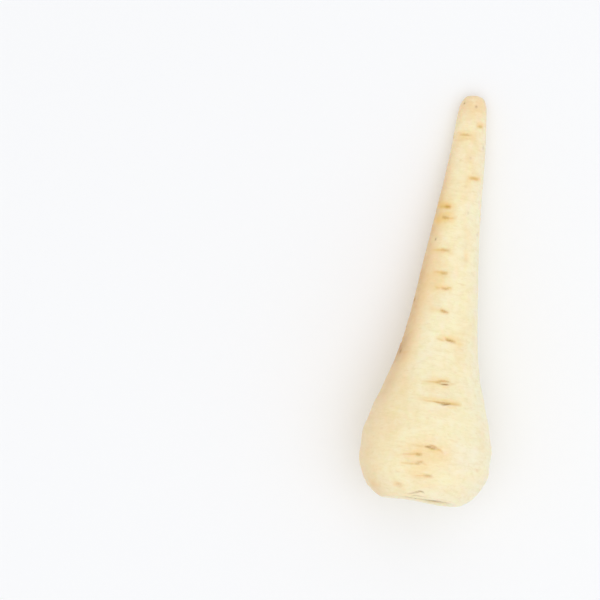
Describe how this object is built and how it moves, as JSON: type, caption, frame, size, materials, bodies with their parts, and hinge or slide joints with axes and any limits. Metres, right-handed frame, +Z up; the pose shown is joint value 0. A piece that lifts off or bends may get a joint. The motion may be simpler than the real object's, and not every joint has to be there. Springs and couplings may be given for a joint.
{
  "type": "parsnip",
  "caption": "Whole parsnip taproot lying on its side: broad round shoulder with a sunken trimmed crown, long taper to a blunt tip, short crosswise side-root scars in ranks.",
  "frame": {"origin": "middle of the footprint, on the surface the root lies on", "axes": "+Y from the trimmed crown to the tip, +Z up, +X to the right seen from above with the tip pointing up the page"},
  "size_m": [0.0574, 0.1818, 0.0563],
  "materials": {
    "root_skin": "fresh plant skin: pale cream, smooth satin, with light brown scars"
  },
  "bodies": {
    "root": {"parsnip_root": "root_skin"}
  },
  "joints": []
}
